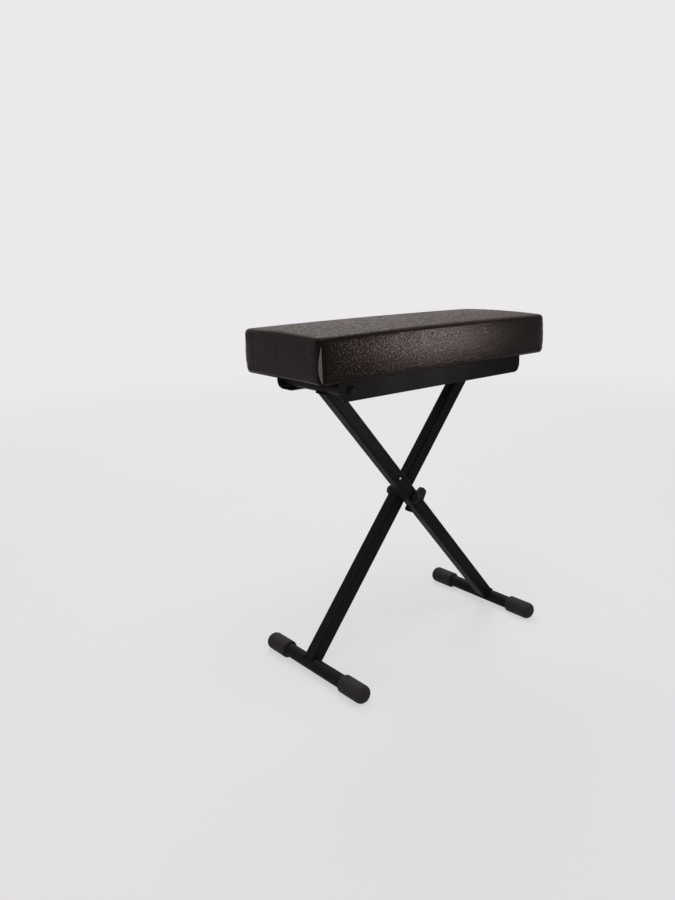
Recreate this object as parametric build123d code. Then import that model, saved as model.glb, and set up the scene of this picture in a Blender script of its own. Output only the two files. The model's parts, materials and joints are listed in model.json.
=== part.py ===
"""Folding X-frame keyboard bench: a padded seat on two crossing legs, with a ratchet lock at the crossing.

X runs along the seat, Y from the front (-Y) to the back, Z up from the floor.
Leg pieces are drawn upright about the crossing pivot and then leaned into place.
"""
import os
from math import cos, degrees, radians, sin

from build123d import *

# Seat sizes
seat_length = 470.0
seat_depth = 185.0
seat_height = 542.0
cushion_thickness = 66.0
cushion_corner_radius = 10.0
cushion_side_draw = 2.0
cushion_crown_length = 2.0
cushion_crown_depth = 2.5
cushion_top_round = 7.0
cushion_bottom_round = 3.0
cover_thickness = 9.0
board_thickness = 12.0
board_corner_radius = 6.0

# Seat rail sizes
rail_reach = 20.0
rail_height = 31.0
rail_spacing = 149.0
rail_gauge = 2.0
rail_top_flange = 36.0
rail_lip = 18.0
rail_end_round = 14.0
rail_bend = 3.0
rail_screw_count = 3
rail_screw_end = 45.0
rail_screw_inset = 8.0
screw_diameter = 6.0
screw_head_diameter = 11.0
screw_head_height = 2.4
tee_flange_diameter = 18.0
tee_flange_thickness = 1.5
tee_barrel_diameter = 8.0

# Leg sizes
leg_angle = 39.0
crossing_height = 256.0
crossing_shift = -6.0
leg_tube = 22.0
leg_wall = 1.5
leg_corner = 2.5
leg_gap = 5.0
top_bar_diameter = 20.0
top_bar_wall = 1.5
top_bar_weld_depth = 3.0
hinge_bolt_diameter = 8.0
hinge_bolt_head = 13.0
hinge_bolt_head_height = 3.6
hinge_bolt_grip = 18.0
hinge_washer_diameter = 18.0
hinge_washer_thickness = 1.5
hinge_plug_length = 24.0
glide_width = 12.0
glide_round = 1.5
glide_spigot = 22.0

# Foot sizes
foot_length = 246.0
foot_bar_diameter = 22.0
foot_bar_wall = 1.5
foot_saddle_rise = 5.0
cap_diameter = 29.0
cap_length = 52.0
cap_end_thickness = 6.0
cap_dome_round = 10.0
cap_mouth_round = 3.0
sole_flat = 0.8

# Crossing pivot sizes
pivot_diameter = 10.0
pivot_head_diameter = 18.0
pivot_head_height = 5.0
pivot_nut_flats = 16.0
pivot_nut_height = 9.0
pivot_nut_collar = 3.0
pivot_thread_end = 3.0
pivot_washer_diameter = 21.0
pivot_washer_thickness = 1.5
bush_wall = 2.0
wear_washer_diameter = 22.0
wear_washer_thickness = 0.8

# Ratchet lock sizes, with places measured from the pivot down the front leg
disc_thickness = 4.0
disc_radius = 14.5
step_radius = 11.0
step_drop = 1.5
step_angle = 9.0
step_count = 3
fold_angle = 69.0
tongue_half_angle = 13.5
lock_plate_thickness = 2.5
lock_travel = 2.8
lock_plate_top = 18.0
lock_plate_width = 17.0
lock_tab_margin = 3.5
lock_ear_reach = 17.0
lock_ear_length = 23.0
lock_ear_tip = 7.5
lock_ear_shoulder = 3.0
lock_ear_round = 2.5
grip_reach = 34.0
grip_length = 25.0
grip_tip_length = 12.0
grip_tip_drop = 3.0
grip_tip_round = 5.0
grip_thickness = 10.0
grip_round = 2.0
grip_leg_gap = 0.8
guide_place = 28.5
guide_spacing = 14.0
guide_diameter = 4.0
guide_head_diameter = 8.0
guide_head_height = 1.2
lock_pin_diameter = 4.0
lock_pin_place = 51.0
lock_pin_margin = 6.0
spring_diameter = 11.0
spring_wire = 1.4
spring_length = 34.0
spring_turns = 6
spring_wire_sides = 6
spring_pin_diameter = 4.0

# Wear pad between the legs, measured from the pivot up the front leg
pad_place = 51.0
pad_diameter = 15.0
pad_rivet_diameter = 4.0
pad_rivet_head = 7.0
pad_rivet_head_height = 1.4

# Share of a domed head's height that its straight rim takes
head_rim_share = 0.33

# Clearances
running_fit = 0.05
slide_gap = 0.3
soft_gap = 0.3
seat_fit = 0.02

# Places worked out from the sizes
lean = radians(leg_angle)
seat_bottom = seat_height - cushion_thickness
board_top = seat_bottom + board_thickness
track_height = seat_bottom - rail_height / 2
foot_axis = cap_diameter / 2 - sole_flat
upper_reach = (track_height - crossing_height) / cos(lean)
lower_reach = (crossing_height - foot_axis) / cos(lean)
hinge_x = crossing_shift - upper_reach * sin(lean)
glide_x = crossing_shift + upper_reach * sin(lean)
front_foot_x = crossing_shift + lower_reach * sin(lean)
rear_foot_x = crossing_shift - lower_reach * sin(lean)
rail_length = 2 * (max(-hinge_x, glide_x) + rail_reach)
front_lean = Location((crossing_shift, 0, crossing_height), (0, -leg_angle, 0))
rear_lean = Location((crossing_shift, 0, crossing_height), (0, leg_angle, 0))
leg_offset = (leg_gap + leg_tube) / 2
gap_face = leg_gap / 2
leg_face = gap_face + leg_tube
leg_inside = leg_tube - 2 * leg_wall
rail_web = rail_spacing / 2
rail_inside = rail_web - rail_gauge
track_room = rail_height - 2 * rail_gauge
top_bar_bore = top_bar_diameter - 2 * top_bar_wall
hinge_bar_end = rail_inside - slide_gap - hinge_washer_thickness
glide_end = rail_inside - slide_gap
foot_bar_end = foot_length / 2 - cap_end_thickness - slide_gap
pivot_bore = pivot_diameter + 2 * running_fit
lock_face = -gap_face + slide_gap
lock_back = lock_face + lock_plate_thickness
guide_places = (-guide_place, -guide_place - guide_spacing)
lock_plate_end = lock_pin_place + lock_pin_margin
spring_top = -lock_pin_place - lock_pin_diameter / 2 - slide_gap
spring_pin_place = spring_top - spring_length - spring_pin_diameter / 2
screw_run = rail_length - 2 * rail_screw_end
screw_step = screw_run / (rail_screw_count - 1)
screw_y = rail_web - rail_top_flange + rail_screw_inset
screw_xs = [i * screw_step - screw_run / 2 for i in range(rail_screw_count)]
screw_places = [(x, side * screw_y) for x in screw_xs for side in (-1, 1)]


def rod(diameter, y_from, y_to, x=0.0, z=0.0):
    """A round bar along Y between two depths."""
    return Pos(x, (y_from + y_to) / 2, z) * Rot(90, 0, 0) * Cylinder(diameter / 2, y_to - y_from)


def ring(outer, inner, y_from, y_to, x=0.0, z=0.0):
    """A washer, bush or round tube along Y."""
    return rod(outer, y_from, y_to, x, z) - rod(inner, y_from, y_to, x, z)


def post(diameter, z_from, z_to, x=0.0, y=0.0):
    """A round bar along Z between two heights."""
    return Pos(x, y, (z_from + z_to) / 2) * Cylinder(diameter / 2, z_to - z_from)


def flat(outline, y_from, y_to):
    """A plate cut from an outline in the XZ plane, between two depths."""
    return Pos(0, y_to, 0) * extrude(Plane.XZ * outline, amount=y_to - y_from, dir=(0, -1, 0))


def slot(length, width, z_low):
    """The outline of an upright slot, from the centre of its lower end."""
    return Pos(0, z_low + length / 2) * Rot(0, 0, 90) * SlotCenterToCenter(length, width)


def domed_head(diameter, height, y_seat, toward, x=0.0, z=0.0):
    """A low domed bolt or rivet head on the plane y_seat, standing toward +1 or -1 along Y."""
    radius = diameter / 2
    rim = head_rim_share * height
    rise = height - rim
    sphere = (radius ** 2 + rise ** 2) / (2 * rise)
    shoulder = (sphere ** 2 - (radius / 2) ** 2) ** 0.5 - sphere + height
    outline = make_face(
        Polyline((0, height), (0, 0), (radius, 0), (radius, rim))
        + ThreePointArc((radius, rim), (radius / 2, shoulder), (0, height))
    )
    head = revolve(outline, Axis.Y)
    return Pos(x, y_seat, z) * (head if toward > 0 else mirror(head, about=Plane.XZ))


def sector(radius, start, end):
    """A pie slice about the pivot, with its angles in degrees from the local +X axis."""
    angles = (radians(start), radians((start + end) / 2), radians(end))
    rim = [(radius * cos(a), radius * sin(a)) for a in angles]
    return make_face(Line((0, 0), rim[0]) + ThreePointArc(*rim) + Line(rim[2], (0, 0)))


def both_ends(make):
    """Two like pieces, at the front (-1) and the back (+1)."""
    return Compound(children=[make(-1), make(1)])


def seat_cushion():
    """Foam and cover in one: drawn-in sides, a crowned top and a pocket for the board."""
    half_x, half_y = seat_length / 2, seat_depth / 2
    inner_x, inner_y = half_x - cushion_side_draw, half_y - cushion_side_draw
    plan = make_face(
        ThreePointArc((-half_x, -half_y), (0, -inner_y), (half_x, -half_y))
        + ThreePointArc((half_x, -half_y), (inner_x, 0), (half_x, half_y))
        + ThreePointArc((half_x, half_y), (0, inner_y), (-half_x, half_y))
        + ThreePointArc((-half_x, half_y), (-inner_x, 0), (-half_x, -half_y))
    )
    plan = fillet(plan.vertices(), cushion_corner_radius)
    block = extrude(Pos(0, 0, seat_bottom) * plan, amount=cushion_thickness)
    # The top is one doubly curved face: a shallow arc along the seat, turned about a far axis below it
    turn_radius = half_y ** 2 / (2 * cushion_crown_depth)
    turn_axis = Axis((0, 0, seat_height - turn_radius), (1, 0, 0))
    half_turn = degrees(seat_depth / turn_radius)
    end_height = seat_height - cushion_crown_length
    low = seat_bottom - cushion_thickness
    outline = make_face(
        ThreePointArc((-half_x, end_height), (0, seat_height), (half_x, end_height))
        + Polyline((half_x, end_height), (half_x, low), (-half_x, low), (-half_x, end_height))
    )
    side = (Plane.XZ * outline).rotate(turn_axis, -half_turn)
    block = block & revolve(side, turn_axis, 2 * half_turn)
    block = fillet(block.faces().sort_by(Axis.Z)[-1].edges(), cushion_top_round)
    block = fillet(block.faces().sort_by(Axis.Z)[0].edges(), cushion_bottom_round)
    pocket = RectangleRounded(
        seat_length - 2 * cover_thickness + 2 * soft_gap,
        seat_depth - 2 * cover_thickness + 2 * soft_gap,
        board_corner_radius + soft_gap,
    )
    return block - extrude(Pos(0, 0, seat_bottom) * pocket, amount=board_thickness + soft_gap)


def seat_board():
    """Plywood base of the seat, counterbored on top for the tee nuts."""
    length = seat_length - 2 * cover_thickness
    depth = seat_depth - 2 * cover_thickness
    plan = RectangleRounded(length, depth, board_corner_radius)
    board = extrude(Pos(0, 0, seat_bottom) * plan, amount=board_thickness)
    for x, y in screw_places:
        board -= post(tee_barrel_diameter + 2 * seat_fit, seat_bottom, board_top, x, y)
        recess_floor = board_top - tee_flange_thickness - seat_fit
        board -= post(tee_flange_diameter + 2 * seat_fit, recess_floor, board_top, x, y)
    return board


def seat_rail(side):
    """Pressed steel track: a flange under the board, an outer web and a lip that carries the glide."""
    low = seat_bottom - rail_height
    profile = make_face(
        Polyline(
            (rail_web - rail_top_flange, seat_bottom),
            (rail_web, seat_bottom),
            (rail_web, low),
            (rail_web - rail_lip, low),
            (rail_web - rail_lip, low + rail_gauge),
            (rail_inside, low + rail_gauge),
            (rail_inside, seat_bottom - rail_gauge),
            (rail_web - rail_top_flange, seat_bottom - rail_gauge),
            close=True,
        )
    )
    corners = profile.vertices().sort_by(Axis.X)
    profile = fillet(corners[-2:], rail_bend)
    rail = Pos(-rail_length / 2, 0, 0) * extrude(Plane.YZ * profile, amount=rail_length)
    # Both lower ends of the rail are rounded off as seen from the front
    outline = Pos(0, seat_bottom - rail_height / 2) * Rectangle(rail_length, rail_height)
    outline = fillet(outline.vertices().group_by(Axis.Y)[0], rail_end_round)
    rail = rail & flat(outline, rail_web - rail_top_flange, rail_web)
    if side < 0:
        rail = mirror(rail, about=Plane.XZ)
    rail -= rod(hinge_bolt_diameter + 2 * running_fit, -rail_spacing, rail_spacing, hinge_x, track_height)
    for x, y in screw_places:
        rail -= post(screw_diameter + 2 * slide_gap, seat_bottom - 2 * rail_gauge, seat_bottom, x, y)
    return rail


def rail_screws():
    """Low-headed screws from below, through the rails into the tee nuts."""
    screws = []
    seat = seat_bottom - rail_gauge
    for x, y in screw_places:
        head = post(screw_head_diameter, seat - screw_head_height, seat, x, y)
        head = fillet(head.edges().sort_by(Axis.Z)[0], screw_head_height / 2)
        screws.append(head + post(screw_diameter, seat, board_top, x, y))
    return Compound(children=screws)


def tee_nuts():
    """Flanged nuts let into the top of the board, one for each rail screw."""
    nuts = []
    for x, y in screw_places:
        nut = post(tee_barrel_diameter, seat_bottom + slide_gap, board_top, x, y)
        nut += post(tee_flange_diameter, board_top - tee_flange_thickness, board_top, x, y)
        nuts.append(nut - post(screw_diameter + 2 * seat_fit, seat_bottom, board_top, x, y))
    return Compound(children=nuts)


def leg_tube_piece(side):
    """Square leg tube, hollowed at its ends to sit on the foot bar and the top bar, with the pivot hole."""
    section = RectangleRounded(leg_tube, leg_tube, leg_corner)
    section -= RectangleRounded(leg_inside, leg_inside, leg_corner - leg_wall)
    run = lower_reach + upper_reach - foot_saddle_rise - top_bar_weld_depth
    tube = Pos(0, side * leg_offset, foot_saddle_rise - lower_reach) * extrude(section, amount=run)
    tube -= rod(foot_bar_diameter + 2 * seat_fit, -leg_face, leg_face, z=-lower_reach)
    tube -= rod(top_bar_diameter + 2 * seat_fit, -leg_face, leg_face, z=upper_reach)
    return tube - rod(pivot_bore, -leg_face, leg_face)


def front_leg_tube():
    """Front leg, drilled for the pad rivet, the lock's guides, its pin and its spring pin."""
    tube = leg_tube_piece(-1)
    middle = -leg_offset
    tube -= rod(pad_rivet_diameter + 2 * seat_fit, -leg_face, -gap_face, z=pad_place)
    for z in guide_places:
        tube -= rod(guide_diameter + 2 * seat_fit, middle, -gap_face, z=z)
    tube -= rod(spring_pin_diameter + 2 * seat_fit, -leg_face, -gap_face, z=spring_pin_place)
    pin_slot = slot(lock_travel, lock_pin_diameter + 2 * slide_gap, -lock_pin_place - lock_travel)
    return front_lean * (tube - flat(pin_slot, middle, -gap_face))


def foot_bar(x):
    """Round cross bar at the foot of a leg."""
    bore = foot_bar_diameter - 2 * foot_bar_wall
    return ring(foot_bar_diameter, bore, -foot_bar_end, foot_bar_end, x, foot_axis)


def foot_cap(x, side):
    """Rubber end cap with a domed end, a rounded mouth and a flat sole."""
    outer = cap_diameter / 2
    inner = foot_bar_diameter / 2 + seat_fit
    depth = cap_length - cap_end_thickness
    dome = cap_dome_round
    mouth = cap_mouth_round
    outline = make_face(
        Line((inner, 0), (outer - mouth, 0))
        + TangentArc((outer - mouth, 0), (outer, mouth), tangent=(1, 0))
        + Line((outer, mouth), (outer, cap_length - dome))
        + TangentArc((outer, cap_length - dome), (outer - dome, cap_length), tangent=(0, 1))
        + Polyline((outer - dome, cap_length), (0, cap_length), (0, depth), (inner, depth), (inner, 0))
    )
    cap = revolve(outline, Axis.Y)
    if side < 0:
        cap = mirror(cap, about=Plane.XZ)
    cap = Pos(x, side * (foot_length / 2 - cap_length), foot_axis) * cap
    ground = Pos(x, 0, -cap_diameter / 2) * Box(cap_diameter, 2 * foot_length, cap_diameter)
    return cap - ground


def hinge_bar():
    """Cross bar at the top of the front leg, which the seat turns on."""
    return ring(top_bar_diameter, top_bar_bore, -hinge_bar_end, hinge_bar_end, hinge_x, track_height)


def hinge_plug(side):
    """Plug in the end of the hinge bar that takes the hinge bolt."""
    ends = sorted((side * hinge_bar_end, side * (hinge_bar_end - hinge_plug_length)))
    hole = hinge_bolt_diameter + 2 * seat_fit
    return ring(top_bar_bore - 2 * seat_fit, hole, *ends, hinge_x, track_height)


def hinge_washer(side):
    """Nylon washer between the hinge bar and the rail."""
    ends = sorted((side * hinge_bar_end, side * (hinge_bar_end + hinge_washer_thickness)))
    return ring(hinge_washer_diameter, hinge_bolt_diameter + 2 * seat_fit, *ends, hinge_x, track_height)


def hinge_bolt(side):
    """Shoulder bolt through the rail's web into the plug."""
    seat = side * (rail_web + slide_gap)
    ends = sorted((seat, side * (hinge_bar_end - hinge_bolt_grip)))
    head = domed_head(hinge_bolt_head, hinge_bolt_head_height, seat, side, hinge_x, track_height)
    return head + rod(hinge_bolt_diameter, *ends, hinge_x, track_height)


def glide_bar():
    """Cross bar at the top of the rear leg, whose ends run in the rails."""
    end = glide_end - glide_width
    return ring(top_bar_diameter, top_bar_bore, -end, end, glide_x, track_height)


def glide(side):
    """Nylon end plug of the glide bar: a round head that slides and turns in the rail, and a spigot."""
    shoulder = side * (glide_end - glide_width)
    head = rod(track_room - 2 * slide_gap, *sorted((shoulder, side * glide_end)), glide_x, track_height)
    head = fillet(head.edges().filter_by(GeomType.CIRCLE), glide_round)
    spigot_ends = sorted((shoulder, shoulder - side * glide_spigot))
    return head + rod(top_bar_bore - 2 * seat_fit, *spigot_ends, glide_x, track_height)


def pivot_bolt():
    """Domed bolt through both legs at the crossing."""
    seat = -leg_face - pivot_washer_thickness
    tail = leg_face + slide_gap + pivot_washer_thickness + pivot_nut_height + pivot_thread_end
    head = domed_head(pivot_head_diameter, pivot_head_height, seat, -1)
    return front_lean * (head + rod(pivot_diameter, seat, tail))


def pivot_nut():
    """Lock nut behind the rear leg, with a rounded collar."""
    seat = leg_face + slide_gap + pivot_washer_thickness
    hexagon = RegularPolygon(pivot_nut_flats / 2, 6, major_radius=False)
    nut = flat(hexagon, seat, seat + pivot_nut_height - pivot_nut_collar)
    nut += rod(pivot_nut_flats, seat, seat + pivot_nut_height)
    return front_lean * (nut - rod(pivot_diameter + 2 * seat_fit, seat, seat + pivot_nut_height))


def pivot_washers():
    """Steel washers under the bolt's head and under the nut."""
    hole = pivot_diameter + 2 * seat_fit
    front = ring(pivot_washer_diameter, hole, -leg_face - pivot_washer_thickness, -leg_face)
    seat = leg_face + slide_gap
    back = ring(pivot_washer_diameter, hole, seat, seat + pivot_washer_thickness)
    return front_lean * Compound(children=[front, back])


def pivot_bush(side):
    """Sleeve inside a leg tube that keeps the bolt from crushing it."""
    ends = sorted((side * (gap_face + leg_wall + seat_fit), side * (leg_face - leg_wall - seat_fit)))
    return front_lean * ring(pivot_bore + 2 * bush_wall, pivot_bore, *ends)


def wear_washer():
    """Thin nylon washer between the front leg and the index disc."""
    back = -gap_face + wear_washer_thickness
    return front_lean * ring(wear_washer_diameter, pivot_bore, -gap_face, back)


def index_disc():
    """Stepped ratchet disc on the rear leg, drawn as it stands against the lock's tongue.

    Its tall shoulder stops the legs from opening past the lowest seat. Each deeper step holds a higher seat,
    and the last step runs on for the rest of the fold.
    """
    shoulder = -90 + tongue_half_angle + degrees(slide_gap / step_radius)
    cut = fold_angle + 2 * tongue_half_angle + 2 * degrees(slide_gap / step_radius) + step_angle
    outline = sector(disc_radius, shoulder, shoulder + 360 - cut)
    for step in range(step_count):
        start = shoulder - (step + 1) * step_angle if step < step_count - 1 else shoulder - cut
        outline += sector(step_radius - step * step_drop, start, shoulder - step * step_angle)
    disc = flat(outline, gap_face - disc_thickness, gap_face)
    return front_lean * (disc - rod(pivot_bore, -gap_face, gap_face))


def lock_plate():
    """Sliding lock plate between the legs: a tongue toward the disc, a finger ear and a tab for the grip."""
    half = lock_plate_width / 2
    top = -lock_plate_top
    body = Pos(0, (top - lock_plate_end) / 2) * Rectangle(lock_plate_width, lock_plate_end - lock_plate_top)
    tongue_root = lock_plate_top / cos(radians(tongue_half_angle)) + slide_gap
    tongue = sector(tongue_root, -90 - tongue_half_angle, -90 + tongue_half_angle)
    tongue -= Circle(step_radius + slide_gap)
    ear_top = top - lock_ear_shoulder
    ear = Polygon(
        (0, top),
        (-half, top),
        (-lock_ear_reach, ear_top),
        (-lock_ear_reach + lock_ear_round, ear_top - lock_ear_tip),
        (-half, top - lock_ear_length),
        (0, top - lock_ear_length),
        align=None,
    )
    ear = fillet(ear.vertices().sort_by(Axis.X)[:2], lock_ear_round)
    tab_length = grip_tip_length - lock_tab_margin
    tab_run = grip_reach - lock_tab_margin
    tab_middle = top - grip_tip_drop - grip_tip_length / 2
    tab = Pos(tab_run / 2, tab_middle) * Rectangle(tab_run, tab_length)
    plate = flat(body + tongue + ear + tab, lock_face, lock_back)
    for z in guide_places:
        plate -= flat(slot(lock_travel, guide_diameter + slide_gap, z), lock_face, lock_back)
    return plate - rod(lock_pin_diameter + 2 * seat_fit, lock_face, lock_back, z=-lock_pin_place)


def lock_grip():
    """Moulded finger grip on the lock plate's tab, beside the leg."""
    root = leg_tube / 2 + grip_leg_gap
    top = -lock_plate_top
    tip_top = top - grip_tip_drop
    outline = Polygon(
        (root, top),
        (grip_reach, tip_top),
        (grip_reach, tip_top - grip_tip_length),
        (root, top - grip_length),
        align=None,
    )
    outline = fillet(outline.vertices().sort_by(Axis.X)[-2:], grip_tip_round)
    middle = (lock_face + lock_back) / 2
    grip = flat(outline, middle - grip_thickness / 2, middle + grip_thickness / 2)
    rims = grip.faces().sort_by(Axis.Y)
    return fillet(rims[0].edges() + rims[-1].edges(), grip_round)


def lock_pin():
    """Cross pin of the lock plate that reaches into the front leg, where the spring pushes on it."""
    tip = -leg_offset - spring_diameter / 2
    return front_lean * rod(lock_pin_diameter, tip, lock_back, z=-lock_pin_place)


def guide_rivets():
    """Headed rivets on the front leg that the lock plate's slots run on."""
    rivets = []
    wall_inside = -gap_face - leg_wall
    head_seat = lock_back + slide_gap
    for z in guide_places:
        rivet = rod(guide_diameter, wall_inside, head_seat, z=z)
        rivet += rod(guide_head_diameter, head_seat, head_seat + guide_head_height, z=z)
        rivet += rod(guide_head_diameter, wall_inside - guide_head_height, wall_inside, z=z)
        rivets.append(front_lean * rivet)
    return Compound(children=rivets)


def lock_spring():
    """Compression spring inside the front leg, with its two ends on the spring pin and the lock pin."""
    radius = (spring_diameter - spring_wire) / 2
    rise = spring_length - spring_wire - slide_gap
    coil = Helix(rise / spring_turns, rise, radius)
    section = RegularPolygon(spring_wire / 2, spring_wire_sides)
    wire = sweep(Plane(coil @ 0, z_dir=coil % 0) * section, path=coil)
    bottom = spring_top - spring_length + spring_wire / 2 + slide_gap / 2
    return front_lean * Pos(0, -leg_offset, bottom) * Rot(0, 0, 90) * wire


def spring_pin():
    """Pin across the front leg that the spring stands on."""
    return front_lean * rod(spring_pin_diameter, -leg_face, -gap_face, z=spring_pin_place)


def wear_pad():
    """Nylon pad on the front leg that keeps the closed legs apart."""
    hole = pad_rivet_diameter + 2 * seat_fit
    pad = ring(pad_diameter, hole, -gap_face, gap_face - 2 * slide_gap, z=pad_place)
    rims = pad.edges().filter_by(GeomType.CIRCLE).sort_by(Axis.Y)[-2:]
    return front_lean * fillet(rims.sort_by(SortBy.RADIUS)[-1], slide_gap)


def pad_rivet():
    """Bright rivet through the front leg that holds the wear pad."""
    rivet = domed_head(pad_rivet_head, pad_rivet_head_height, -leg_face, -1, z=pad_place)
    return front_lean * (rivet + rod(pad_rivet_diameter, -leg_face, 0, z=pad_place))


pieces = {
    "seat_cushion": seat_cushion(),
    "seat_board": seat_board(),
    "front_rail": seat_rail(-1),
    "rear_rail": seat_rail(1),
    "rail_screws": rail_screws(),
    "tee_nuts": tee_nuts(),
    "front_leg_tube": front_leg_tube(),
    "front_leg_foot_bar": foot_bar(front_foot_x),
    "front_leg_cap_front": foot_cap(front_foot_x, -1),
    "front_leg_cap_rear": foot_cap(front_foot_x, 1),
    "hinge_bar": hinge_bar(),
    "hinge_plugs": both_ends(hinge_plug),
    "hinge_washers": both_ends(hinge_washer),
    "hinge_bolts": both_ends(hinge_bolt),
    "rear_leg_tube": rear_lean * leg_tube_piece(1),
    "rear_leg_foot_bar": foot_bar(rear_foot_x),
    "rear_leg_cap_front": foot_cap(rear_foot_x, -1),
    "rear_leg_cap_rear": foot_cap(rear_foot_x, 1),
    "glide_bar": glide_bar(),
    "glide_front": glide(-1),
    "glide_rear": glide(1),
    "pivot_bolt": pivot_bolt(),
    "pivot_nut": pivot_nut(),
    "pivot_washers": pivot_washers(),
    "front_leg_bush": pivot_bush(-1),
    "rear_leg_bush": pivot_bush(1),
    "wear_washer": wear_washer(),
    "index_disc": index_disc(),
    "lock_plate": front_lean * lock_plate(),
    "lock_grip": front_lean * (lock_grip() - lock_plate()),
    "lock_pin": lock_pin(),
    "guide_rivets": guide_rivets(),
    "lock_spring": lock_spring(),
    "spring_pin": spring_pin(),
    "wear_pad": wear_pad(),
    "pad_rivet": pad_rivet(),
}

os.makedirs("parts", exist_ok=True)
for name, piece in pieces.items():
    export_step(piece, f"parts/{name}.step")
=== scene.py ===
"""Looks of the folding keyboard bench: vinyl cushion, finishes, welds, studio and camera."""
import json
from math import cos, pi, radians, sin, sqrt

import bmesh
import bpy
import numpy as np
from mathutils import Matrix, Vector
from mathutils.bvhtree import BVHTree


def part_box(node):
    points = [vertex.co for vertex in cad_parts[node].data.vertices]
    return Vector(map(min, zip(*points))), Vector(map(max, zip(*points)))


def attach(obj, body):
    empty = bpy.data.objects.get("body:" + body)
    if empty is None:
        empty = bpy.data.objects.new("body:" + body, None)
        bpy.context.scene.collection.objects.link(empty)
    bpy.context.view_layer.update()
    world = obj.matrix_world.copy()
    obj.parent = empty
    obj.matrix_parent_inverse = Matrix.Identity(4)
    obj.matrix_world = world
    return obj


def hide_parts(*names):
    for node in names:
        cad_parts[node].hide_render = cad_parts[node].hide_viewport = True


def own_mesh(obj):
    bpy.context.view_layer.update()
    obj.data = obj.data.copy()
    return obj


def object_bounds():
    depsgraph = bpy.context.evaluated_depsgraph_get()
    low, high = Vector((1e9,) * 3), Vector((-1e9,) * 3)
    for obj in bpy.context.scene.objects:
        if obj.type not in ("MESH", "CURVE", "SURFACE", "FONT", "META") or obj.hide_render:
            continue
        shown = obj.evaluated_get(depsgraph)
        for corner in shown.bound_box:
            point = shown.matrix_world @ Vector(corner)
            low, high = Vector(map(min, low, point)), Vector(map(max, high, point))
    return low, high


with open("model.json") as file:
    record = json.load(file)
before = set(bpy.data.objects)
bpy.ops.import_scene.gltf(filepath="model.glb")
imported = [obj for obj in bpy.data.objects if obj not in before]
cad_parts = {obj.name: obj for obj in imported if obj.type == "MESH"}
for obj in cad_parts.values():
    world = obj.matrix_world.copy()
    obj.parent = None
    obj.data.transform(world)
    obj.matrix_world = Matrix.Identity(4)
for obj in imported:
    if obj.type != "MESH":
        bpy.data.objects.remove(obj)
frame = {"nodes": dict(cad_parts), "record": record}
cad_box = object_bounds()
nodes = frame["nodes"]
scene = bpy.context.scene
mm = 0.001

# Cushion: how far each face swells, what of it is held, and the folds pulled into its sides
cover_voxel = 3 * mm
top_swell = 2.5 * mm
side_swell = 2.4 * mm
end_swell = 1.2 * mm
held_height = 4 * mm
pocket_margin = 5 * mm
face_flatness = 0.985
pressure = 4
pressure_frames = 20
cloth_quality = 5
cloth_mass = 0.3
pull_fold_depth = 0.25 * mm
pull_fold_spacing = 13 * mm
pull_fold_reach = 70 * mm
pull_fold_slope = 0.45
pull_fold_edge_fade = 1.6

# Corner pleats of the cover; the turn is the share of the corner's quarter turn at which the fold lies
pleat_top_gap = 16 * mm
pleat_width = 6 * mm
pleat_least_width = 1.2 * mm
pleat_thickness = 1.6 * mm
pleat_least_thickness = 0.4 * mm
pleat_corner_radius = 10 * mm
pleat_turn = 0.4
pleat_low_bulge = 1.3
pleat_rows = 26

# Cover margin under the board; its gathers come every so many steps along the edge
margin_thickness = 0.9 * mm
margin_side_inset = 16 * mm
margin_end_inset = 30 * mm
margin_lanes = 4
margin_steps = 60
gather_steps = 7.3
gather_fade_steps = 17.1
margin_drop = 0.7
gather_drop = 0.3

# Staples, each row a little askew, by an angle in radians
staple_inset = 5 * mm
staple_length = 10 * mm
staple_wire = 0.7 * mm
staple_spacing = 38 * mm
front_skew = 0.12
back_skew = -0.1
left_skew = 0.1
right_skew = -0.08

# Weld beads
bead_radius = 1.5 * mm
bead_ripple = 0.22
bead_ripple_spacing = 2.6 * mm
bead_least_rise = 0.45
bead_steps = 40

# Rivet of the wear pad: how far its bright crown reaches, and where it is black
rivet_bright = 1.3 * mm
rivet_black = 1.9 * mm

# Studio paper, in metres; the share of its tone that is even in any light rises to 1 from near to far
paper_colour = "#ebe9eb"
paper_evening = 0.7
paper_near = 1.0
paper_far = 3.0
floor_radius = 4.5
floor_curve_radius = 2.5
floor_curve_steps = 24
floor_turns = 96
wall_height = 6.0

# Light from all round, and the place of the highlight along the front of the seat
air_colour = "#f1f0f1"
air_light = 0.32
highlight_x = -30 * mm

# Camera of the photograph, in its 675 x 900 frame
image_width = 675
image_height = 900
camera_azimuth = -43.1
camera_elevation = 18.15
camera_roll = -0.6
camera_distance = 1.2776
camera_aim = Vector((0.0066, 0.0, 0.2506))
focal_pixels = 762.7
centre_pixel_x = 409.9
centre_pixel_y = 495.6
sensor_width = 36.0


# Materials

def linear(hex_colour):
    """An sRGB hex colour as the linear colour that a socket takes."""
    channels = [int(hex_colour[i:i + 2], 16) / 255 for i in (1, 3, 5)]
    return [c / 12.92 if c <= 0.04045 else ((c + 0.055) / 1.055) ** 2.4 for c in channels] + [1.0]


def per_metre(size):
    """The texture scale that gives a pattern of that real size in metres."""
    return 1.0 / size


def add(tree, kind, inputs=None, **settings):
    """One node with its settings. An input is a plain value or another node's output."""
    node = tree.nodes.new(kind)
    for name, value in settings.items():
        setattr(node, name, value)
    for name, value in (inputs or {}).items():
        if isinstance(value, bpy.types.NodeSocket):
            tree.links.new(value, node.inputs[name])
        else:
            node.inputs[name].default_value = value
    return node


def new_material(name):
    """An empty material with its shader and the object's own coordinates."""
    material = bpy.data.materials.new(name)
    material.use_nodes = True
    tree = material.node_tree
    shader = tree.nodes["Principled BSDF"]
    place = add(tree, "ShaderNodeTexCoord").outputs["Object"]
    return material, tree, shader, place


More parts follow.
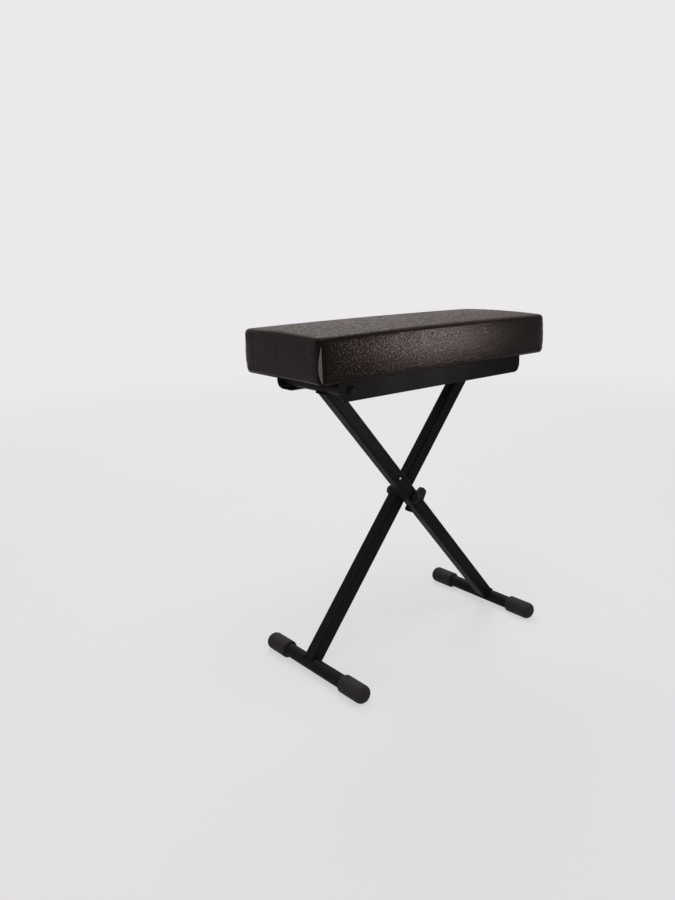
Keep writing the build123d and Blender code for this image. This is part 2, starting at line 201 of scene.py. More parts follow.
def grained_vinyl():
    """PVC cover cloth with an embossed leather grain: satin on the sides, sat matte on the top, where its
    colour is painted paler as if lit.
    """
    material, tree, shader, place = new_material("embossed black vinyl")
    # The real grain is about 1 mm; to show, it is drawn at 2 mm on the sides and at 3.5 mm on the top
    side_grain = add(tree, "ShaderNodeTexVoronoi", {"Vector": place, "Scale": per_metre(2 * mm)},
                     feature="SMOOTH_F1")
    top_grain = add(tree, "ShaderNodeTexVoronoi", {"Vector": place, "Scale": per_metre(3.5 * mm)})
    creases = add(tree, "ShaderNodeTexNoise", {"Vector": place, "Scale": per_metre(1.6 * mm), "Detail": 3.0})
    rub = add(tree, "ShaderNodeTexNoise", {"Vector": place, "Scale": per_metre(70 * mm), "Detail": 8.0,
                                           "Roughness": 0.75})
    facing = add(tree, "ShaderNodeTexCoord")
    upright = add(tree, "ShaderNodeSeparateXYZ", {"Vector": facing.outputs["Normal"]})
    top_facing = add(tree, "ShaderNodeMapRange", {"Value": upright.outputs["Z"], "From Min": 0.5,
                                              "From Max": 0.95}).outputs["Result"]
    pebbles = add(tree, "ShaderNodeMix", {"Factor": top_facing, "A": side_grain.outputs["Distance"],
                                          "B": top_grain.outputs["Distance"]})
    # Painted light: one black vinyl, coloured darker on the sides as painted shade and paler on the top as
    # painted light
    shaded_side_tone = add(tree, "ShaderNodeMixRGB", {"Fac": rub.outputs["Fac"], "Color1": linear("#120d0c"),
                                               "Color2": linear("#1b1413")})
    lit_top_tone = add(tree, "ShaderNodeMixRGB", {"Fac": rub.outputs["Fac"], "Color1": linear("#1a1616"),
                                              "Color2": linear("#403939")})
    tone = add(tree, "ShaderNodeMixRGB", {"Fac": top_facing, "Color1": shaded_side_tone.outputs["Color"],
                                          "Color2": lit_top_tone.outputs["Color"]})
    grain_tone = add(tree, "ShaderNodeMixRGB", {"Fac": pebbles.outputs["Result"],
                                                "Color1": tone.outputs["Color"], "Color2": linear("#0f0b0b")})
    tree.links.new(grain_tone.outputs["Color"], shader.inputs["Base Color"])
    satin = add(tree, "ShaderNodeMapRange", {"Value": creases.outputs["Fac"], "From Min": 0.3,
                                             "From Max": 0.7, "To Min": 0.1, "To Max": 0.24})
    # Sitting polishes the top's grain unevenly
    polish = add(tree, "ShaderNodeTexNoise", {"Vector": place, "Scale": per_metre(4.5 * mm), "Detail": 1.0})
    matte = add(tree, "ShaderNodeMapRange", {"Value": polish.outputs["Fac"], "From Min": 0.3,
                                             "From Max": 0.7, "To Min": 0.12, "To Max": 0.56})
    gloss = add(tree, "ShaderNodeMath", {0: top_facing, 1: matte.outputs["Result"], 2: satin.outputs["Result"]},
                operation="MULTIPLY_ADD")
    tree.links.new(gloss.outputs["Value"], shader.inputs["Roughness"])
    relief = add(tree, "ShaderNodeMapRange", {"Value": top_facing, "To Min": 0.5, "To Max": 0.8})
    deep = add(tree, "ShaderNodeBump", {"Height": pebbles.outputs["Result"], "Distance": 0.6 * mm,
                                        "Strength": relief.outputs["Result"]}, invert=True)
    fine = add(tree, "ShaderNodeBump", {"Height": creases.outputs["Fac"], "Distance": 0.5 * mm,
                                        "Strength": 0.4, "Normal": deep.outputs["Normal"]})
    tree.links.new(fine.outputs["Normal"], shader.inputs["Normal"])
    shader.inputs["Specular IOR Level"].default_value = 0.08
    shader.inputs["Specular Tint"].default_value = linear("#ffdccf")
    shader.inputs["Sheen Weight"].default_value = 0.13
    shader.inputs["Sheen Roughness"].default_value = 0.35
    shader.inputs["Sheen Tint"].default_value = linear("#ffc8b2")
    return material


def powder_coat():
    """Steel sprayed with black powder and baked: a fine orange-peel skin, low gloss, paler where rubbed."""
    material, tree, shader, place = new_material("black powder coat on steel")
    # Orange peel is about 0.8 mm; it is drawn at 1.5 mm so that it shows
    peel = add(tree, "ShaderNodeTexNoise", {"Vector": place, "Scale": per_metre(1.5 * mm), "Detail": 2.0})
    rub = add(tree, "ShaderNodeTexNoise", {"Vector": place, "Scale": per_metre(45 * mm), "Detail": 5.0})
    tone = add(tree, "ShaderNodeMixRGB", {"Fac": rub.outputs["Fac"], "Color1": linear("#0d0b0c"),
                                          "Color2": linear("#151213")})
    edge = add(tree, "ShaderNodeNewGeometry")
    worn = add(tree, "ShaderNodeMapRange", {"Value": edge.outputs["Pointiness"], "From Min": 0.53,
                                            "From Max": 0.62, "To Min": 0.0, "To Max": 0.2})
    worn_tone = add(tree, "ShaderNodeMixRGB", {"Fac": worn.outputs["Result"], "Color1": tone.outputs["Color"],
                                               "Color2": linear("#3a3637")})
    tree.links.new(worn_tone.outputs["Color"], shader.inputs["Base Color"])
    gloss = add(tree, "ShaderNodeMapRange", {"Value": rub.outputs["Fac"], "From Min": 0.3, "From Max": 0.7,
                                             "To Min": 0.44, "To Max": 0.58})
    tree.links.new(gloss.outputs["Result"], shader.inputs["Roughness"])
    bump = add(tree, "ShaderNodeBump", {"Height": peel.outputs["Fac"], "Strength": 0.3,
                                        "Distance": 0.25 * mm})
    tree.links.new(bump.outputs["Normal"], shader.inputs["Normal"])
    shader.inputs["Specular IOR Level"].default_value = 0.04
    return material


def moulded_rubber():
    """Moulded black rubber of the foot caps: matte and greyer than the tubes, with dust in a faint bloom."""
    material, tree, shader, place = new_material("moulded black rubber")
    bloom = add(tree, "ShaderNodeTexNoise", {"Vector": place, "Scale": per_metre(18 * mm), "Detail": 6.0})
    pores = add(tree, "ShaderNodeTexNoise", {"Vector": place, "Scale": per_metre(1.2 * mm), "Detail": 2.0})
    tone = add(tree, "ShaderNodeMixRGB", {"Fac": bloom.outputs["Fac"], "Color1": linear("#242122"),
                                          "Color2": linear("#3a3536")})
    tree.links.new(tone.outputs["Color"], shader.inputs["Base Color"])
    matte = add(tree, "ShaderNodeMapRange", {"Value": bloom.outputs["Fac"], "From Min": 0.3,
                                             "From Max": 0.7, "To Min": 0.62, "To Max": 0.8})
    tree.links.new(matte.outputs["Result"], shader.inputs["Roughness"])
    bump = add(tree, "ShaderNodeBump", {"Height": pores.outputs["Fac"], "Strength": 0.25,
                                        "Distance": 0.3 * mm})
    tree.links.new(bump.outputs["Normal"], shader.inputs["Normal"])
    shader.inputs["Specular IOR Level"].default_value = 0.15
    return material


def moulded_plastic(name, dark, pale):
    """Injection moulded black plastic: an even fine spark texture and a soft gloss."""
    material, tree, shader, place = new_material(name)
    flow = add(tree, "ShaderNodeTexNoise", {"Vector": place, "Scale": per_metre(12 * mm), "Detail": 3.0})
    spark = add(tree, "ShaderNodeTexNoise", {"Vector": place, "Scale": per_metre(0.7 * mm), "Detail": 1.0})
    tone = add(tree, "ShaderNodeMixRGB", {"Fac": flow.outputs["Fac"], "Color1": linear(dark),
                                          "Color2": linear(pale)})
    tree.links.new(tone.outputs["Color"], shader.inputs["Base Color"])
    gloss = add(tree, "ShaderNodeMapRange", {"Value": flow.outputs["Fac"], "From Min": 0.3, "From Max": 0.7,
                                             "To Min": 0.4, "To Max": 0.52})
    tree.links.new(gloss.outputs["Result"], shader.inputs["Roughness"])
    bump = add(tree, "ShaderNodeBump", {"Height": spark.outputs["Fac"], "Strength": 0.2,
                                        "Distance": 0.2 * mm})
    tree.links.new(bump.outputs["Normal"], shader.inputs["Normal"])
    shader.inputs["Specular IOR Level"].default_value = 0.15
    return material


def plated_steel(name, dark, pale, rough_low, rough_high, metallic):
    """Plated or blackened fasteners: metal that shows faint turning marks and small stains."""
    material, tree, shader, place = new_material(name)
    stain = add(tree, "ShaderNodeTexNoise", {"Vector": place, "Scale": per_metre(6 * mm), "Detail": 5.0})
    turning = add(tree, "ShaderNodeTexNoise", {"Vector": place, "Scale": per_metre(0.5 * mm), "Detail": 2.0})
    tone = add(tree, "ShaderNodeMixRGB", {"Fac": stain.outputs["Fac"], "Color1": linear(dark),
                                          "Color2": linear(pale)})
    tree.links.new(tone.outputs["Color"], shader.inputs["Base Color"])
    gloss = add(tree, "ShaderNodeMapRange", {"Value": stain.outputs["Fac"], "From Min": 0.3, "From Max": 0.7,
                                             "To Min": rough_low, "To Max": rough_high})
    tree.links.new(gloss.outputs["Result"], shader.inputs["Roughness"])
    bump = add(tree, "ShaderNodeBump", {"Height": turning.outputs["Fac"], "Strength": 0.12,
                                        "Distance": 0.1 * mm})
    tree.links.new(bump.outputs["Normal"], shader.inputs["Normal"])
    shader.inputs["Metallic"].default_value = metallic
    shader.inputs["Specular IOR Level"].default_value = 0.1
    return material


def worn_rivet(crown):
    """A blackened steel rivet that is rubbed bright round the middle of its crown."""
    material, tree, shader, place = new_material("blackened rivet steel")
    scuffs = add(tree, "ShaderNodeTexNoise", {"Vector": place, "Scale": per_metre(0.6 * mm), "Detail": 2.0})
    distance = add(tree, "ShaderNodeVectorMath", {0: place, 1: crown}, operation="DISTANCE")
    rubbed = add(tree, "ShaderNodeMapRange", {"Value": distance.outputs["Value"], "From Min": rivet_bright,
                                              "From Max": rivet_black, "To Min": 1.0, "To Max": 0.0})
    tone = add(tree, "ShaderNodeMixRGB", {"Fac": rubbed.outputs["Result"], "Color1": linear("#131112"),
                                          "Color2": linear("#dadbdc")})
    tree.links.new(tone.outputs["Color"], shader.inputs["Base Color"])
    gloss = add(tree, "ShaderNodeMapRange", {"Value": scuffs.outputs["Fac"], "From Min": 0.3, "From Max": 0.7,
                                             "To Min": 0.2, "To Max": 0.36})
    tree.links.new(gloss.outputs["Result"], shader.inputs["Roughness"])
    shader.inputs["Metallic"].default_value = 1.0
    return material


def bare_plywood():
    """Bare plywood under the seat: long pale and dark grain along the seat, dry and matte."""
    material, tree, shader, place = new_material("bare plywood")
    along = add(tree, "ShaderNodeMapping", {"Vector": place, "Scale": (0.06, 1.0, 1.0)})
    grain = add(tree, "ShaderNodeTexNoise", {"Vector": along.outputs["Vector"], "Scale": per_metre(4 * mm),
                                             "Detail": 6.0, "Distortion": 0.4})
    pores = add(tree, "ShaderNodeTexNoise", {"Vector": along.outputs["Vector"], "Scale": per_metre(0.9 * mm),
                                             "Detail": 2.0})
    tone = add(tree, "ShaderNodeMixRGB", {"Fac": grain.outputs["Fac"], "Color1": linear("#8a6438"),
                                          "Color2": linear("#c8a26c")})
    tree.links.new(tone.outputs["Color"], shader.inputs["Base Color"])
    bump = add(tree, "ShaderNodeBump", {"Height": pores.outputs["Fac"], "Strength": 0.3,
                                        "Distance": 0.2 * mm})
    tree.links.new(bump.outputs["Normal"], shader.inputs["Normal"])
    shader.inputs["Roughness"].default_value = 0.75
    return material


def painted_fold_highlight():
    """Vinyl of the corner pleats' folds: its pale colour is a painted highlight along the rolled fold, and
    its grain flattens.
    """
    material, tree, shader, place = new_material("vinyl fold with painted highlight")
    fold_mottle = add(tree, "ShaderNodeTexNoise", {"Vector": place, "Scale": per_metre(4 * mm), "Detail": 4.0})
    # These pale tones are a painted highlight on the fold
    tone = add(tree, "ShaderNodeMixRGB", {"Fac": fold_mottle.outputs["Fac"], "Color1": linear("#544d4b"),
                                          "Color2": linear("#807977")})
    tree.links.new(tone.outputs["Color"], shader.inputs["Base Color"])
    bump = add(tree, "ShaderNodeBump", {"Height": fold_mottle.outputs["Fac"], "Strength": 0.3,
                                        "Distance": 0.3 * mm})
    tree.links.new(bump.outputs["Normal"], shader.inputs["Normal"])
    shader.inputs["Roughness"].default_value = 0.5
    return material


def looked_at(tree):
    """1 where the eye, a reflection or clear glass looks at a surface, and 0 where it only gives light."""
    rays = add(tree, "ShaderNodeLightPath")
    direct = add(tree, "ShaderNodeMath", {0: rays.outputs["Is Camera Ray"], 1: rays.outputs["Is Glossy Ray"]},
                 operation="MAXIMUM")
    either = add(tree, "ShaderNodeMath", {0: direct.outputs["Value"],
                                          1: rays.outputs["Is Transmission Ray"]}, operation="MAXIMUM")
    return either.outputs["Value"]


def studio_paper():
    """Matte pale paper of the floor and wall, evened where it is looked at, so that it stays one tone."""
    material, tree, shader, place = new_material("pale studio paper")
    shader.inputs["Base Color"].default_value = linear(paper_colour)
    shader.inputs["Roughness"].default_value = 0.95
    shader.inputs["Specular IOR Level"].default_value = 0.1
    glow = add(tree, "ShaderNodeEmission", {"Color": linear(paper_colour), "Strength": 1.0})
    distance = add(tree, "ShaderNodeVectorMath", {0: place}, operation="LENGTH")
    share = add(tree, "ShaderNodeMapRange", {"Value": distance.outputs["Value"], "From Min": paper_near,
                                             "From Max": paper_far, "To Min": paper_evening, "To Max": 1.0})
    evened = add(tree, "ShaderNodeMath", {0: looked_at(tree), 1: share.outputs["Result"]},
                 operation="MULTIPLY")
    blend = add(tree, "ShaderNodeMixShader", {0: evened.outputs["Value"], 1: shader.outputs["BSDF"],
                                              2: glow.outputs["Emission"]})
    tree.links.new(blend.outputs["Shader"], tree.nodes["Material Output"].inputs["Surface"])
    return material


# Where the legs stand, read from the frame

def centre(node):
    """The middle of a CAD node's box."""
    low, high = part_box(node)
    return (low + high) / 2


class Leg:
    """A leg tube's own directions: across it, along Y, and up it from the crossing."""

    def __init__(self, body, tube, foot_bar, top_bar):
        low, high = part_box(tube)
        self.body = body
        self.depth = (low.y + high.y) / 2
        self.half = (high.y - low.y) / 2
        self.foot_bar = foot_bar
        self.top_bar = top_bar
        self.up = (centre(top_bar) - centre(foot_bar)).normalized()
        self.up.y = 0
        self.across = Vector((self.up.z, 0, -self.up.x))

    def point(self, origin, across, y, up):
        """A point by its place from a bar's axis."""
        return Vector((origin.x, y, origin.z)) + self.across * across + self.up * up


front_leg = Leg("front_leg", "front_leg_tube", "front_leg_foot_bar", "hinge_bar")
rear_leg = Leg("rear_leg", "rear_leg_tube", "rear_leg_foot_bar", "glide_bar")

# Finishes of the CAD pieces
vinyl = grained_vinyl()
highlight_fold_vinyl = painted_fold_highlight()
finish_of_slot = {
    "cushion_vinyl": vinyl,
    "plywood": bare_plywood(),
    "powder_coat": powder_coat(),
    "black_oxide": plated_steel("black oxide steel", "#0c0b0c", "#151314", 0.45, 0.6, 0.1),
    "zinc_plate": plated_steel("bright zinc plate", "#b9babd", "#dadbdc", 0.2, 0.36, 1.0),
    "spring_wire": plated_steel("drawn spring wire", "#7d7f83", "#a5a7aa", 0.25, 0.4, 1.0),
    "nylon": moulded_plastic("moulded black nylon", "#131212", "#1c1a1b"),
    "grip_plastic": moulded_plastic("moulded grip plastic", "#121011", "#1b1819"),
    "foot_rubber": moulded_rubber(),
}
for piece in frame["record"]["subparts"]:
    mesh = nodes[piece["node"]].data
    mesh.materials.clear()
    mesh.materials.append(finish_of_slot[piece["material_slot"]])
crown = centre("pad_rivet")
crown.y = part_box("pad_rivet")[0].y
nodes["pad_rivet"].data.materials[0] = worn_rivet(crown)


# Meshes

def place_piece(name, mesh, body, slot):
    """A new piece of the bench that rides on a body and has its slot's finish."""
    piece = bpy.data.objects.new(name, mesh)
    scene.collection.objects.link(piece)
    piece.data.materials.clear()
    piece.data.materials.append(finish_of_slot[slot])
    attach(piece, body)
    return piece


def finished_mesh(name, shape, smooth):
    """The mesh of a bmesh shape, which is freed."""
    mesh = bpy.data.meshes.new(name)
    shape.to_mesh(mesh)
    shape.free()
    mesh.polygons.foreach_set("use_smooth", [smooth] * len(mesh.polygons))
    return mesh


def skin(shape, rings):
    """Joins each closed ring of points to the next by a band of faces."""
    for near, far in zip(rings, rings[1:]):
        for i in range(len(near)):
            j = (i + 1) % len(near)
            shape.faces.new((near[i], near[j], far[j], far[i]))


def square_loop(steps):
    """Points round a square that reaches from -1 to 1, with that many steps along each side."""
    corners = ((-1, -1), (1, -1), (1, 1), (-1, 1))
    loop = []
    for (from_x, from_y), (to_x, to_y) in zip(corners, corners[1:] + corners[:1]):
        for step in range(steps):
            share = step / steps
            loop.append((from_x + (to_x - from_x) * share, from_y + (to_y - from_y) * share))
    return loop


def evaluated_mesh(piece):
    """A plain mesh of a piece as its modifiers leave it."""
    graph = bpy.context.evaluated_depsgraph_get()
    return bpy.data.meshes.new_from_object(piece.evaluated_get(graph))


def vertex_places(mesh):
    """All vertex places and normals of a mesh, as arrays."""
    places = np.zeros(len(mesh.vertices) * 3, np.float32)
    mesh.vertices.foreach_get("co", places)
    normals = np.zeros(len(mesh.vertices) * 3, np.float32)
    mesh.vertices.foreach_get("normal", normals)
    return places.reshape(-1, 3).astype(float), normals.reshape(-1, 3).astype(float)


def set_vertex_places(mesh, places):
    """Moves a mesh's vertices."""
    mesh.vertices.foreach_set("co", places.astype(np.float32).ravel())
    mesh.update()


# Cushion

seat_low, seat_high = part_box("seat_cushion")
_, board_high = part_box("seat_board")


def held_points(places, normals):
    """Which points of the cushion are held: beside the board, under it, and along the foam's firm edges."""
    edge = np.abs(normals).max(axis=1) < face_flatness
    near_x = np.abs(places[:, 0]) < board_high.x + pocket_margin
    near_y = np.abs(places[:, 1]) < board_high.y + pocket_margin
    beside_board = near_x & near_y & (places[:, 2] < board_high.z + pocket_margin)
    return edge | beside_board | (places[:, 2] < seat_low.z + held_height)


def swell(pad, held, start):
    """Blows the cover up by a cloth simulation, and gives how far each point moved."""
    group = pad.vertex_groups.new(name="held")
    group.add([int(i) for i in np.flatnonzero(held)], 1.0, "REPLACE")
    cloth = pad.modifiers.new("cover", "CLOTH")
    cloth.settings.quality = cloth_quality
    cloth.settings.mass = cloth_mass
    cloth.settings.vertex_group_mass = "held"
    cloth.settings.use_pressure = True
    cloth.settings.uniform_pressure_force = pressure
    cloth.settings.effector_weights.gravity = 0
    cloth.point_cache.frame_end = pressure_frames
    for step in range(1, pressure_frames + 1):
        scene.frame_set(step)
    moved, _ = vertex_places(evaluated_mesh(pad))
    pad.modifiers.remove(cloth)
    scene.frame_set(1)
    return moved - start


def limited(travel, normals, held):
    """The swelling scaled face by face, so that each face's fullest point moves as far as it should."""
    facing = np.abs(normals).argmax(axis=1)
    for axis, fullest in enumerate((end_swell, side_swell, top_swell)):
        face = (facing == axis) & ~held
        reach = np.linalg.norm(travel[face], axis=1).max()
        travel[face] *= min(1.0, fullest / max(reach, 1e-9))
    travel[held] = 0
    return travel


def pull_folds(places, normals):
    """Slight folds that run from the foot of each corner pleat up into the sides of a stretched cover."""
    rise = places[:, 2] - seat_low.z
    height = seat_high.z - seat_low.z
    corner_x = seat_high.x - np.abs(places[:, 0])
    corner_y = seat_high.y - np.abs(places[:, 1])
    from_corner = np.where(np.abs(normals[:, 1]) > np.abs(normals[:, 0]), corner_x, corner_y)
    side = 1 - np.clip(np.abs(normals[:, 2]) * pull_fold_edge_fade, 0, 1)
    fade = np.clip(1 - from_corner / pull_fold_reach, 0, 1) ** 2 * np.clip(1 - rise / height, 0, 1)
    wave = np.sin(2 * pi * (rise - pull_fold_slope * from_corner) / pull_fold_spacing)
    return normals * (pull_fold_depth * side * fade * wave)[:, None]


def vinyl_cushion():
    """The padded seat: a copy of the CAD pad, remeshed, blown up as cloth, and given its pulled folds."""
    pad = bpy.data.objects.new("vinyl_cushion", nodes["seat_cushion"].data.copy())
    scene.collection.objects.link(pad)
    remesh = pad.modifiers.new("voxels", "REMESH")
    remesh.mode = "VOXEL"
    remesh.voxel_size = cover_voxel
    pad.data = evaluated_mesh(pad)
    pad.modifiers.clear()
    start, normals = vertex_places(pad.data)
    held = held_points(start, normals)
    travel = limited(swell(pad, held, start), normals, held)
    pad.vertex_groups.clear()
    set_vertex_places(pad.data, start + travel)
    rounding = pad.modifiers.new("rounding", "SUBSURF")
    rounding.levels = rounding.render_levels = 1
    pad.data = evaluated_mesh(pad)
    pad.modifiers.clear()
    places, normals = vertex_places(pad.data)
    set_vertex_places(pad.data, places + pull_folds(places, normals))
    pad.data.polygons.foreach_set("use_smooth", [True] * len(pad.data.polygons))
    pad.data.materials.clear()
    pad.data.materials.append(vinyl)
    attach(pad, "seat")
    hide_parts("seat_cushion")
    return pad


cushion = vinyl_cushion()
cover_surface = BVHTree.FromObject(cushion, bpy.context.evaluated_depsgraph_get())


def on_cover(axis_x, axis_y, z, angle, proud):
    """A point that stands proud of the cover, found from a corner's upright axis at an angle about it."""
    outward = Vector((cos(angle), sin(angle), 0))
    begin = Vector((axis_x, axis_y, z)) + outward * 3 * pleat_corner_radius
    hit, _, _, _ = cover_surface.ray_cast(begin, -outward)
    return hit + outward * proud


def corner_pleat(name, side_x, side_y):
    """The cover's spare cloth at an upright corner, folded flat: a slim lip, widest below its middle."""
    axis_x = side_x * (seat_high.x - pleat_corner_radius)
    axis_y = side_y * (seat_high.y - pleat_corner_radius)
    toward_end = 0.0 if side_x > 0 else pi
    toward_side = side_y * pi / 2
    turn = (toward_end - toward_side + pi) % (2 * pi) - pi
    direction = 1 if turn > 0 else -1
    fold_angle = toward_side + pleat_turn * turn
    # The lip's section from its root to its rolled fold and back under it, as shares of width and thickness
    section = ((0.0, -0.6), (0.02, 0.0), (0.3, 0.42), (0.6, 0.8), (0.85, 1.0), (0.96, 0.92), (1.0, 0.6),
               (0.97, 0.25), (0.9, -0.1), (0.88, -0.6))
    top = seat_high.z - pleat_top_gap
    bottom = seat_low.z + held_height / 2
    shape = bmesh.new()
    rings = []
    for row in range(pleat_rows + 1):
        share = row / pleat_rows
        z = top + (bottom - top) * share
        bulge = sin(pi * share ** pleat_low_bulge)
        width = pleat_least_width + (pleat_width - pleat_least_width) * bulge
        thickness = pleat_least_thickness + (pleat_thickness - pleat_least_thickness) * bulge
        ring = []
        for across, height in section:
            angle = fold_angle + direction * (1 - across) * width / pleat_corner_radius
            ring.append(shape.verts.new(on_cover(axis_x, axis_y, z, angle, height * thickness)))
        rings.append(ring)
    skin(shape, rings)
    shape.faces.new(rings[0])
    shape.faces.new(rings[-1])
    bmesh.ops.recalc_face_normals(shape, faces=shape.faces)
    pleat = place_piece(name, finished_mesh(name, shape, smooth=True), "seat", "cushion_vinyl")
    # The pleat's pale vinyl is a painted highlight on its rolled fold
    pleat.data.materials[0] = highlight_fold_vinyl
    rounding = pleat.modifiers.new("rounding", "SUBSURF")
    rounding.levels = rounding.render_levels = 2


for end_name, side_x in (("left", -1), ("right", 1)):
    for side_name, side_y in (("front", -1), ("back", 1)):
        corner_pleat(f"pleat_{side_name}_{end_name}", side_x, side_y)


def cover_margin():
    """The cover's turned-under edge below the board: a thin strip with small gathers, open in the middle."""
    outer_x, outer_y = seat_high.x - held_height, seat_high.y - held_height
    inner_x, inner_y = seat_high.x - margin_end_inset, seat_high.y - margin_side_inset
    shape = bmesh.new()
    lanes = []
    for lane in range(margin_lanes):
        part = lane / (margin_lanes - 1)
        row = []
        for i, (x, y) in enumerate(square_loop(margin_steps)):
            gather = sin(2 * pi * i / gather_steps) * sin(2 * pi * i / gather_fade_steps)
            drop = margin_thickness * (margin_drop + gather_drop * gather * part)
            place_x = x * (outer_x + (inner_x - outer_x) * part)
            place_y = y * (outer_y + (inner_y - outer_y) * part)
            row.append(shape.verts.new((place_x, place_y, seat_low.z - drop)))
        lanes.append(row)
    skin(shape, lanes)
    bmesh.ops.recalc_face_normals(shape, faces=shape.faces)
    mesh = finished_mesh("cover_margin", shape, smooth=True)
    margin = place_piece("cover_margin", mesh, "seat", "cushion_vinyl")
    thickness = margin.modifiers.new("cloth thickness", "SOLIDIFY")
    thickness.thickness = margin_thickness / 2
    thickness.offset = 0


def staples():
    """Wire staples along the board's edge, pressed into the cover's turned-under margin."""
    run_x = board_high.x - staple_inset
    run_y = board_high.y - staple_inset
    places = []
    count = int(2 * run_x / staple_spacing)
    for i in range(count + 1):
        x = -run_x + 2 * run_x * i / count
        places += [(x, -run_y, front_skew), (x, run_y, back_skew)]
    count = int(2 * run_y / staple_spacing)
    for i in range(1, count):
        y = -run_y + 2 * run_y * i / count
        places += [(-run_x, y, pi / 2 + left_skew), (run_x, y, pi / 2 + right_skew)]
    shape = bmesh.new()
    size = Matrix.Diagonal((staple_length, staple_wire, staple_wire, 1))
    for x, y, turn in places:
        stand = Matrix.Translation((x, y, seat_low.z - margin_thickness)) @ Matrix.Rotation(turn, 4, "Z")
        bmesh.ops.create_cube(shape, size=1.0, matrix=stand @ size)
    bmesh.ops.bevel(shape, geom=shape.edges[:], offset=staple_wire / 4, segments=2, affect="EDGES")
    place_piece("staples", finished_mesh("staples", shape, smooth=False), "seat", "zinc_plate")


cover_margin()
staples()


# Lock spring

def return_spring():
    """The lock's spring inside the front leg: a copy of the CAD spring that rides on the front leg."""
    mesh = nodes["lock_spring"].data.copy()
    places, _ = vertex_places(mesh)
    spring = place_piece("return_spring", mesh, "front_leg", "spring_wire")
    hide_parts("lock_spring")
    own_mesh(spring)


return_spring()


# Weld beads

def weld_bead(name, leg, bar, upward):
    """A rippled bead round the saddle where a leg tube sits on a round bar."""
    low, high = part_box(bar)
    bar_radius = (high.z - low.z) / 2
    axis = centre(bar)
    loop = square_loop(bead_steps)
    curve = bpy.data.curves.new(name, "CURVE")
    curve.dimensions = "3D"
    curve.bevel_depth = bead_radius
    curve.bevel_resolution = 3
    spline = curve.splines.new("POLY")
    spline.points.add(len(loop) - 1)
    spline.use_cyclic_u = True
    travelled = 0.0
    for point, (loop_x, loop_y) in zip(spline.points, loop):
        across = leg.half * loop_x
        rise = max(sqrt(max(bar_radius ** 2 - across ** 2, 0.0)), bead_least_rise * bar_radius)
        place = leg.point(axis, across, leg.depth + leg.half * loop_y, upward * rise)
        point.co = (*place, 1.0)
        travelled += 2 * leg.half / bead_steps
        point.radius = 1 + bead_ripple * sin(2 * pi * travelled / bead_ripple_spacing)
    place_piece(name, curve, leg.body, "powder_coat")


for leg in (front_leg, rear_leg):
    weld_bead(leg.body + "_foot_weld", leg, leg.foot_bar, 1)
    weld_bead(leg.body + "_top_weld", leg, leg.top_bar, -1)


# Studio

def toward_viewer(azimuth, elevation):
    """The direction from the bench to a viewer at that azimuth and elevation in degrees."""
    a, e = radians(azimuth), radians(elevation)
    return Vector((sin(a) * cos(e), -cos(a) * cos(e), sin(e)))


def studio_floor():
    """A round pale floor that curves up into a wall all round, so that no edge of it shows from any side."""
    curve = [pi / 2 * i / floor_curve_steps for i in range(floor_curve_steps + 1)]
    profile = [(floor_radius + floor_curve_radius * sin(a), floor_curve_radius * (1 - cos(a))) for a in curve]
    profile.append((floor_radius + floor_curve_radius, wall_height))
    # Clockwise, so that the bands face up and inward
    turns = [-2 * pi * i / floor_turns for i in range(floor_turns)]
    shape = bmesh.new()
    rings = [[shape.verts.new((r * cos(t), r * sin(t), z)) for t in turns] for r, z in profile]
    shape.faces.new(rings[0][::-1])
    skin(shape, rings)
    mesh = finished_mesh("studio_floor", shape, smooth=True)
    mesh.materials.append(studio_paper())
    floor = bpy.data.objects.new("studio_floor", mesh)
    scene.collection.objects.link(floor)


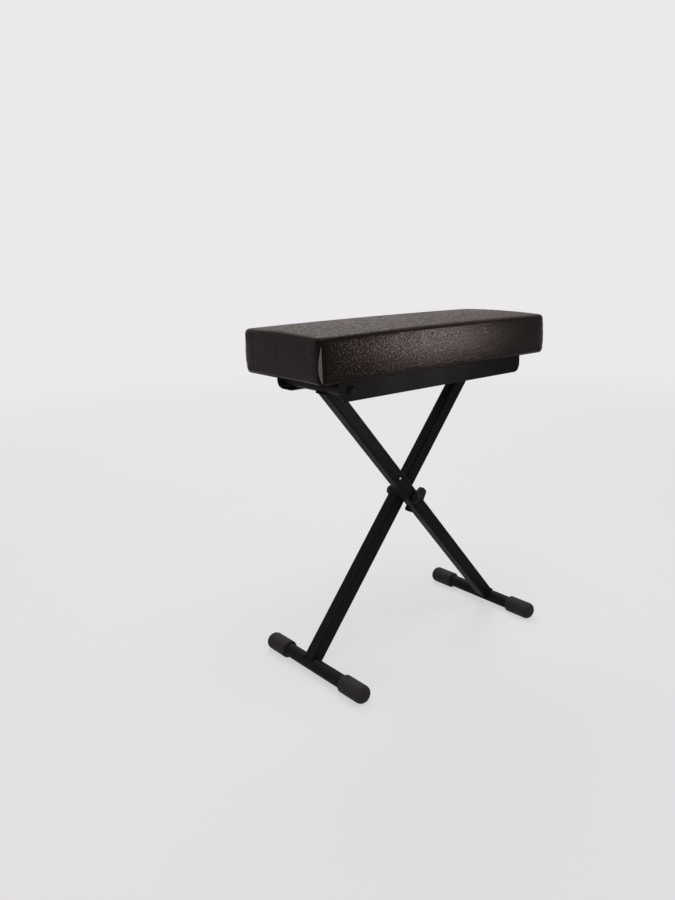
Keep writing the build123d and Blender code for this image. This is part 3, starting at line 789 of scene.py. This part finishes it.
def softbox(name, aim, azimuth, elevation, distance, size, power, spread=180):
    """A softbox aimed at a point, with a grid that narrows its spread in degrees where one is given."""
    lamp = bpy.data.lights.new(name, "AREA")
    lamp.shape = "RECTANGLE"
    lamp.size, lamp.size_y = size
    lamp.energy = power
    lamp.spread = radians(spread)
    box = bpy.data.objects.new(name, lamp)
    toward = toward_viewer(azimuth, elevation)
    box.location = aim + toward * distance
    box.rotation_euler = toward.to_track_quat("Z", "Y").to_euler()
    scene.collection.objects.link(box)


def studio_air():
    """Weak even light from all round, which is seen as the same pale tone as the paper."""
    world = bpy.data.worlds.new("studio air")
    world.use_nodes = True
    tree = world.node_tree
    light = tree.nodes["Background"]
    light.inputs["Color"].default_value = linear(air_colour)
    light.inputs["Strength"].default_value = air_light
    pale = add(tree, "ShaderNodeBackground", {"Color": linear(paper_colour), "Strength": 1.0})
    blend = add(tree, "ShaderNodeMixShader", {0: looked_at(tree), 1: light.outputs["Background"],
                                              2: pale.outputs["Background"]})
    tree.links.new(blend.outputs["Shader"], tree.nodes["World Output"].inputs["Surface"])
    scene.world = world


bench_middle = Vector((0, 0, cad_box[1].z / 2))
front_face = Vector((highlight_x, seat_low.y, (seat_low.z + seat_high.z) / 2))
studio_floor()
softbox("back", bench_middle, azimuth=150, elevation=50, distance=2.8, size=(1.6, 1.6), power=30)
softbox("over", bench_middle, azimuth=-20, elevation=80, distance=2.8, size=(1.8, 1.8), power=32)
softbox("front strip", front_face, azimuth=44, elevation=-3.6, distance=1.9, size=(0.12, 0.35), power=0.07,
        spread=8)
studio_air()
scene.view_settings.view_transform = "Standard"


# Camera

def photograph_camera():
    """A camera where the photograph's viewer stands, with the bench at its place in the frame."""
    back = toward_viewer(camera_azimuth, camera_elevation)
    level = (-back).cross(Vector((0, 0, 1))).normalized()
    upright = level.cross(-back)
    roll = radians(camera_roll)
    right = level * cos(roll) + upright * sin(roll)
    up = upright * cos(roll) - level * sin(roll)
    lens = bpy.data.cameras.new("photograph")
    lens.sensor_width = sensor_width
    lens.lens = focal_pixels / image_height * sensor_width
    lens.shift_x = (image_width / 2 - centre_pixel_x) / image_height
    lens.shift_y = (centre_pixel_y - image_height / 2) / image_height
    camera = bpy.data.objects.new("photograph", lens)
    turn = Matrix((right, up, back)).transposed().to_4x4()
    camera.matrix_world = Matrix.Translation(camera_aim + back * camera_distance) @ turn
    scene.collection.objects.link(camera)
    scene.camera = camera


photograph_camera()
